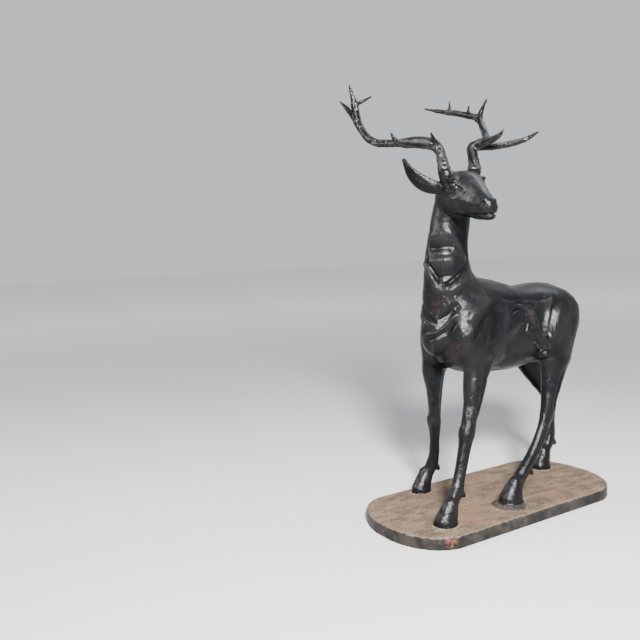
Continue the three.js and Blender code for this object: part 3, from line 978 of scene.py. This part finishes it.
def near_hooves(points, inner, outer):
    """1 beside the hooves, falling to 0 at the outer distance from their outlines."""
    out = np.zeros(len(points))
    for x, y, _, toe, _ in HOOVES:
        turn = math.radians(toe)
        dx, dy = points[:, 0] - x, points[:, 1] - y
        across = (dx * math.cos(turn) + dy * math.sin(turn)) / SOLE_WIDTH
        ahead = (-dx * math.sin(turn) + dy * math.cos(turn)) / SOLE_LENGTH
        away = (np.hypot(across, ahead) - 1) * 40
        out = np.maximum(out, 1 - ramp(away, inner, outer))
    return out


def make_base():
    """The plate with a worn deck, rough sides, a chipped arris and a lumpy mound."""
    obj = remesh(weld(copy_of("base", "base_plate")), BASE_VOXEL)
    mesh = obj.data
    put_points(mesh, smoothed(points_of(mesh), edges_of(mesh), 0.5, 2))
    points, normals = points_of(mesh), normals_of(mesh)
    under = -DECK / UNIT
    facing_up = ramp(normals[:, 2], 0.3, 0.9)
    on_side = 1 - ramp(np.abs(normals[:, 2]), 0.3, 0.8)
    deck = -1.1 * (1 + noise(points, 90, 31)) - 0.5 * (1 + noise(points, 26, 32))
    deck = deck - 0.25 * noise(points, 9, 33)
    side = -1.2 * (1 + noise(points * (1, 1, 0.5), 34, 34)) - 0.7 * (1 + noise(points, 11, 35))
    arris = facing_up * (1 - facing_up) * 4
    chips = arris * np.maximum(noise(points, 20, 36) - 0.35, 0) * 7
    on_mound = ramp(points[:, 2], 3, 8)
    lumps = on_mound * (4.4 * noise(points, 30, 37) + 3.0 * noise(points, 13, 38) - 1.0)
    height = facing_up * deck * (1 - near_hooves(points, 4, 26)) + on_side * side - chips + lumps
    height = height + 2.2 * near_hooves(points, 0, 7) * facing_up * (1 - on_mound)
    points = points + normals * height[:, None]
    points[:, 2] = np.where(normals[:, 2] < -0.5, under, np.maximum(points[:, 2], under))
    put_points(mesh, points)
    # The arris is made paler: worn, and partly a painted highlight; it is less pale where it is chipped.
    set_mask(obj, "wear_and_highlight", np.clip(arris * 1.2 - chips * 0.3, 0, 1) * (1 - on_mound))
    set_mask(obj, "ring", near_hooves(points, 1, 9) * facing_up)
    set_mask(obj, "lump", ramp(points[:, 2], 0.6, 3))
    kept_in(obj, "base")
    decimate(obj, BASE_TRIANGLES)
    obj.data.shade_smooth()
    return obj


# -------------------- materials


def in_metres(x, y, z):
    """A place given in millimetres from the deck, as object coordinates."""
    return (x * UNIT, y * UNIT, z * UNIT + DECK)


class Nodes:
    """Short calls to build a material's nodes."""

    def __init__(self, name):
        self.material = bpy.data.materials.new(name)
        self.material.use_nodes = True
        self.tree = self.material.node_tree
        self.shader = self.tree.nodes["Principled BSDF"]
        self.place = self.add("ShaderNodeTexCoord").outputs["Object"]

    def add(self, kind, inputs=None, **settings):
        node = self.tree.nodes.new(kind)
        for key, value in settings.items():
            setattr(node, key, value)
        for key, value in (inputs or {}).items():
            self.give(node.inputs[key], value)
        return node

    def give(self, socket, value):
        if isinstance(value, bpy.types.NodeSocket):
            self.tree.links.new(value, socket)
        else:
            socket.default_value = value

    def noise(self, scale, detail, rough, stretch=None, warp=0.0):
        at = self.place
        if stretch:
            at = self.add("ShaderNodeMapping", {"Vector": at, "Scale": stretch}).outputs[0]
        inputs = {"Vector": at, "Scale": scale, "Detail": detail, "Roughness": rough, "Distortion": warp}
        return self.add("ShaderNodeTexNoise", inputs).outputs["Fac"]

    def cells(self, scale):
        inputs = {"Vector": self.place, "Scale": scale}
        return self.add("ShaderNodeTexVoronoi", inputs).outputs["Distance"]

    def math(self, how, a, b):
        return self.add("ShaderNodeMath", {0: a, 1: b}, operation=how).outputs[0]

    def times(self, a, b):
        return self.math("MULTIPLY", a, b)

    def remap(self, value, low, high, to_low=0.0, to_high=1.0):
        inputs = {"Value": value, "From Min": low, "From Max": high, "To Min": to_low, "To Max": to_high}
        return self.add("ShaderNodeMapRange", inputs, interpolation_type="SMOOTHSTEP").outputs["Result"]

    def mix(self, amount, a, b):
        """Mix two colours, each a socket or a tuple."""
        colours = [(*value, 1) if isinstance(value, tuple) else value for value in (a, b)]
        inputs = {"Factor": amount, 6: colours[0], 7: colours[1]}
        return self.add("ShaderNodeMix", inputs, data_type="RGBA").outputs[2]

    def mask(self, name):
        return self.add("ShaderNodeAttribute", attribute_name=name).outputs["Fac"]

    def spot(self, centre, reach, ragged):
        """1 within a ragged patch round a place in the tables' millimetres, 0 beyond its reach in metres."""
        ends = {0: self.place, 1: in_metres(*centre)}
        away = self.add("ShaderNodeVectorMath", ends, operation="DISTANCE").outputs["Value"]
        ragged = self.times(self.math("SUBTRACT", ragged, 0.5), reach * 1.6)
        return self.remap(self.math("ADD", away, ragged), reach * 0.3, reach, 1.0, 0.0)

    def bump(self, height, strength, distance, below=None):
        inputs = {"Height": height, "Strength": strength, "Distance": distance}
        if below is not None:
            inputs["Normal"] = below
        return self.add("ShaderNodeBump", inputs).outputs["Normal"]

    def surface(self, colour, rough, specular, normal):
        """Give the shader what it shows, and give back the material."""
        sockets = self.shader.inputs
        self.give(sockets["Base Color"], colour)
        self.give(sockets["Roughness"], rough)
        sockets["Specular IOR Level"].default_value = specular
        self.give(sockets["Normal"], normal)
        return self.material


# Each iron: its main tone, a warmer and a paler one, as linear colours, and the scale of its finest grain.
# The paler one also paints the highlight on raised lines.
STAG_IRON = ((0.0019, 0.0021, 0.0026), (0.0034, 0.0031, 0.0031), (0.009, 0.009, 0.0095), 230)
ANTLER_IRON = ((0.0022, 0.0022, 0.0026), (0.006, 0.0052, 0.0046), (0.026, 0.025, 0.024), 300)
# Rust, and the near-black that paints shade into grooves and hollows.
RUST, PAINTED_SHADE_TONE = (0.016, 0.0066, 0.0045), (0.0012, 0.0012, 0.0013)
IRON_ROUGHNESS = (0.1, 0.25)
IRON_SPECULAR = 0.105
BASE_SPECULAR = 0.15
# Rust on the stag: place in millimetres from the deck and reach in metres.
RUST_SPOTS = [
    ((34, -292, 800), 0.03),
    ((84, -250, 640), 0.045),
    ((90, -215, 590), 0.03),
    ((40, -300, 860), 0.02),
    ((120, 90, 735), 0.05),
    ((150, 270, 700), 0.025),
    ((128, -270, 200), 0.03),
    ((40, -10, 850), 0.05),
]


def iron_material(name, base, warm, pale, grain, spots=()):
    n = Nodes(name)
    broad = n.noise(5.5, 5, 0.6)
    mid = n.noise(26, 6, 0.62, warp=0.4)
    speckle = n.noise(70, 5, 0.75)
    painted_shade, wear_and_highlight = n.mask("painted_shade"), n.mask("wear_and_highlight")
    colour = n.mix(n.remap(broad, 0.38, 0.66), base, warm)
    colour = n.mix(n.remap(mid, 0.55, 0.78, 0, 0.55), colour, pale)
    rusty = n.remap(speckle, 0.42, 0.62, 0.0, 0.5)
    for centre, reach in spots:
        colour = n.mix(n.times(n.spot(centre, reach, mid), rusty), colour, RUST)
    # Painted highlight: raised lines mixed towards the paler tone. Painted shade: grooves and hollows mixed
    # towards near-black.
    colour = n.mix(n.times(wear_and_highlight, 0.35), colour, pale)
    colour = n.mix(n.times(painted_shade, 0.9), colour, PAINTED_SHADE_TONE)
    grit = n.math("ADD", n.times(mid, 0.4), n.times(speckle, 0.6))
    rough = n.math("SUBTRACT", n.remap(grit, 0.38, 0.62, *IRON_ROUGHNESS), n.times(wear_and_highlight, 0.06))
    rough = n.math("ADD", rough, n.times(painted_shade, 0.05))
    normal = n.bump(n.noise(34, 4, 0.6), 0.32, 0.006)
    normal = n.bump(speckle, 0.42, 0.004, normal)
    normal = n.bump(n.noise(grain, 5, 0.75), 0.34, 0.002, normal)
    normal = n.bump(n.cells(grain * 1.6), 0.15, 0.0008, normal)
    return n.surface(colour, rough, IRON_SPECULAR, normal)


DUST_DARK, DUST_PALE, DUST_WARM = (0.041, 0.0272, 0.0172), (0.094, 0.065, 0.043), (0.065, 0.038, 0.025)
DUST_GRIT, DECK_RUST = (0.016, 0.0128, 0.0108), (0.13, 0.062, 0.034)
SIDE_DARK, SIDE_PALE = (0.004, 0.0035, 0.0032), (0.016, 0.013, 0.011)
CORNER_RUST, EDGE_RUST = (0.16, 0.06, 0.03), (0.11, 0.04, 0.022)
DECK_SPOTS = [((150, -250, 0), 0.08), ((38, -176, 0), 0.09), ((190, 180, 0), 0.06), ((20, 60, 0), 0.06)]
CORNER_SPOT = ((215, -413, -20), 0.04)
EDGE_SPOT = ((112, -470, -15), 0.075)
# Masks of the base: the grit that breaks each up, from and to, its least and most strength, and its colour.
BASE_MASKS = [
    # Paler along the arris: worn, and partly a painted highlight.
    ("wear_and_highlight", 0.48, 0.64, 0, 0.65, (0.13, 0.108, 0.086)),
    ("ring", 0.42, 0.6, 0, 0.8, (0.2, 0.18, 0.15)),
    ("lump", 0.35, 0.62, 1.0, 0.7, (0.007, 0.0063, 0.006)),
]


def base_material():
    n = Nodes("dusty_iron")
    broad = n.noise(4, 6, 0.6, warp=0.6)
    streak = n.noise(17, 7, 0.66, stretch=(1.6, 0.7, 1))
    fine = n.noise(150, 6, 0.75)
    gritty = n.noise(55, 6, 0.75)
    dust = n.mix(n.remap(streak, 0.36, 0.64), DUST_DARK, DUST_PALE)
    dust = n.mix(n.remap(broad, 0.45, 0.7, 0, 0.6), dust, DUST_WARM)
    for centre, reach in DECK_SPOTS:
        dust = n.mix(n.times(n.spot(centre, reach, streak), 0.3), dust, DECK_RUST)
    dust = n.mix(n.remap(fine, 0.47, 0.57, 0, 0.8), dust, DUST_GRIT)
    side = n.mix(n.remap(streak, 0.4, 0.65), SIDE_DARK, SIDE_PALE)
    corner = n.times(n.spot(*CORNER_SPOT, gritty), n.remap(gritty, 0.42, 0.6))
    side = n.mix(corner, side, CORNER_RUST)
    edge = n.times(n.spot(*EDGE_SPOT, gritty), n.remap(gritty, 0.52, 0.62))
    side = n.mix(n.times(edge, 0.7), side, EDGE_RUST)
    facing = n.add("ShaderNodeNewGeometry").outputs["Normal"]
    top = n.remap(n.add("ShaderNodeSeparateXYZ", {"Vector": facing}).outputs["Z"], 0.55, 0.85)
    colour = n.mix(top, side, dust)
    for mask, low, high, least, most, tone in BASE_MASKS:
        patch = n.times(n.mask(mask), n.remap(gritty, low, high, least, most))
        colour = n.mix(patch, colour, tone)
    rough = n.math("ADD", n.times(top, 0.3), 0.5)
    normal = n.bump(fine, 0.4, 0.0015, n.bump(streak, 0.35, 0.004))
    return n.surface(colour, rough, BASE_SPECULAR, normal)


def finish_piece(obj, node, material):
    obj.data.materials.clear()
    obj.data.materials.append(material)
    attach(obj, "root")
    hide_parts(node)


black_iron = iron_material("black_iron", *STAG_IRON, RUST_SPOTS)
antler_iron = iron_material("antler_iron", *ANTLER_IRON)
finish_piece(make_stag(), "stag", black_iron)
for node, name, branches in (
    ("antler_right", "right_antler", ANTLER_RIGHT),
    ("antler_left", "left_antler", ANTLER_LEFT),
):
    finish_piece(make_antler(node, branches, name), node, antler_iron)
finish_piece(make_base(), "base", base_material())

# -------------------- camera, floor and lights

CAMERA_PLACE = (2.033, -2.017, 1.078)
CAMERA_RIGHT = (0.52093, 0.85276, -0.03789)
CAMERA_UP = (-0.06886, 0.08622, 0.99389)
CAMERA_BACK = (0.85081, -0.51514, 0.10364)
SENSOR, LENS = 36, 39.375

FLOOR_HALF = 30
FLOOR_NEAR, FLOOR_FAR = (0.26, 0.26, 0.258), (0.92, 0.92, 0.91)
FLOOR_FADE = (2.0, 11.0)
BACKDROP, BACKDROP_STRENGTH = (0.94, 0.97, 1.0), 0.75
# Lights: name, place, what each is aimed at, size in metres, power in watts and colour.
LIGHTS = [
    ("key", (3.0, -1.9, 2.7), (0, 0, 0.8), 0.72, 2000, (1, 1, 0.99)),
    ("left", (-1.6, -3.0, 2.6), (0, 0, 0.8), 0.7, 200, (1, 0.97, 0.93)),
    ("sky", (0.0, 1.4, 3.6), (0, 0.1, 0.8), 2.0, 100, (0.85, 0.9, 1)),
]


def show(name, data):
    obj = bpy.data.objects.new(name, data)
    bpy.context.scene.collection.objects.link(obj)
    return obj


def make_camera():
    camera = show("camera", bpy.data.cameras.new("camera"))
    camera.data.sensor_width = SENSOR
    camera.data.lens = LENS
    turn = Matrix((CAMERA_RIGHT, CAMERA_UP, CAMERA_BACK)).transposed().to_quaternion()
    camera.matrix_world = Matrix.LocRotScale(Vector(CAMERA_PLACE), turn, None)
    bpy.context.scene.camera = camera


def floor_material():
    """Pale grey round the statue, paler far away, so that it meets the backdrop evenly."""
    n = Nodes("pale_floor")
    away = n.add("ShaderNodeVectorMath", {0: n.place}, operation="LENGTH").outputs["Value"]
    n.give(n.shader.inputs["Base Color"], n.mix(n.remap(away, *FLOOR_FADE), FLOOR_NEAR, FLOOR_FAR))
    n.shader.inputs["Roughness"].default_value = 0.9
    return n.material


def make_floor():
    mesh = bpy.data.meshes.new("floor")
    corners = [(x * FLOOR_HALF, y * FLOOR_HALF, 0) for x, y in ((-1, -1), (1, -1), (1, 1), (-1, 1))]
    mesh.from_pydata(corners, [], [(0, 1, 2, 3)])
    mesh.materials.append(floor_material())
    show("floor", mesh)


def area_light(name, place, target, size, power, colour):
    light = show(name, bpy.data.lights.new(name, "AREA"))
    light.data.shape = "DISK"
    light.data.size = size
    light.data.energy = power
    light.data.color = colour
    light.location = place
    light.rotation_euler = (Vector(target) - Vector(place)).to_track_quat("-Z", "Y").to_euler()


def make_backdrop():
    world = bpy.data.worlds.new("studio")
    world.use_nodes = True
    background = world.node_tree.nodes["Background"]
    background.inputs["Color"].default_value = (*BACKDROP, 1)
    background.inputs["Strength"].default_value = BACKDROP_STRENGTH
    bpy.context.scene.world = world


make_camera()
make_floor()
make_backdrop()
for light in LIGHTS:
    area_light(*light)
